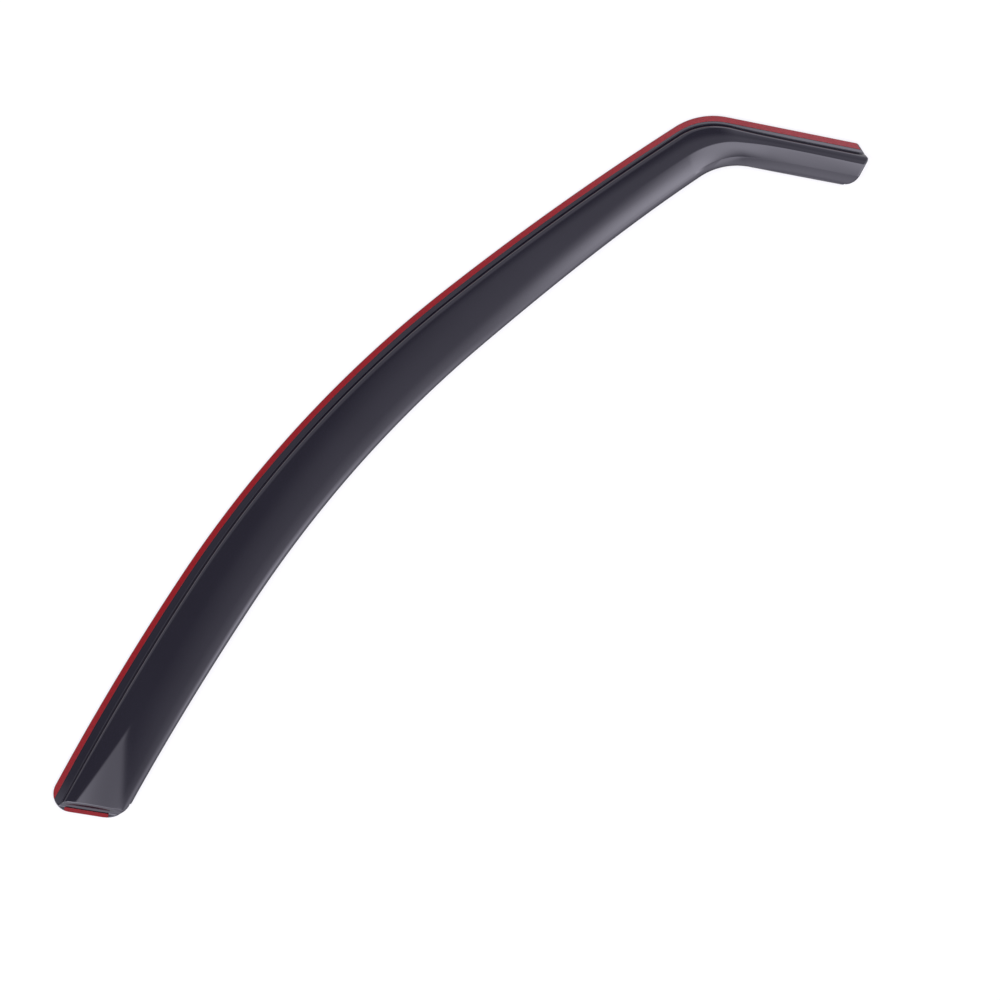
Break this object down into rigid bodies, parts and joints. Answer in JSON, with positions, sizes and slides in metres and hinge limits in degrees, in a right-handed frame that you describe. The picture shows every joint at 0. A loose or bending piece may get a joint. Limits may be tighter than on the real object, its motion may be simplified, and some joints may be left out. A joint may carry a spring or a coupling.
{
  "type": "window rain deflector",
  "caption": "Smoked acrylic rain deflector for a car's front side window: curved arched visor on a flat mounting flange with adhesive tape under red release liners.",
  "frame": {"origin": "on the back of the mounting flange, in the middle of its width, where the long run starts to bend into the short leg", "axes": "+X along the outer edge of the run at the bend, towards the leg; +Z out of the car, away from the flange's back; the free edge lies on the -Y side"},
  "size_m": [0.9286, 0.2525, 0.0106],
  "materials": {
    "smoked_acrylic": "polished dark smoked acrylic",
    "foam_tape": "dark grey acrylic foam",
    "red_liner": "satin red polyester film"
  },
  "bodies": {
    "root": {"visor": "smoked_acrylic", "edge_tape": "foam_tape", "edge_tape_liner": "red_liner", "end_tape": "foam_tape", "end_tape_liner": "red_liner"}
  },
  "joints": []
}
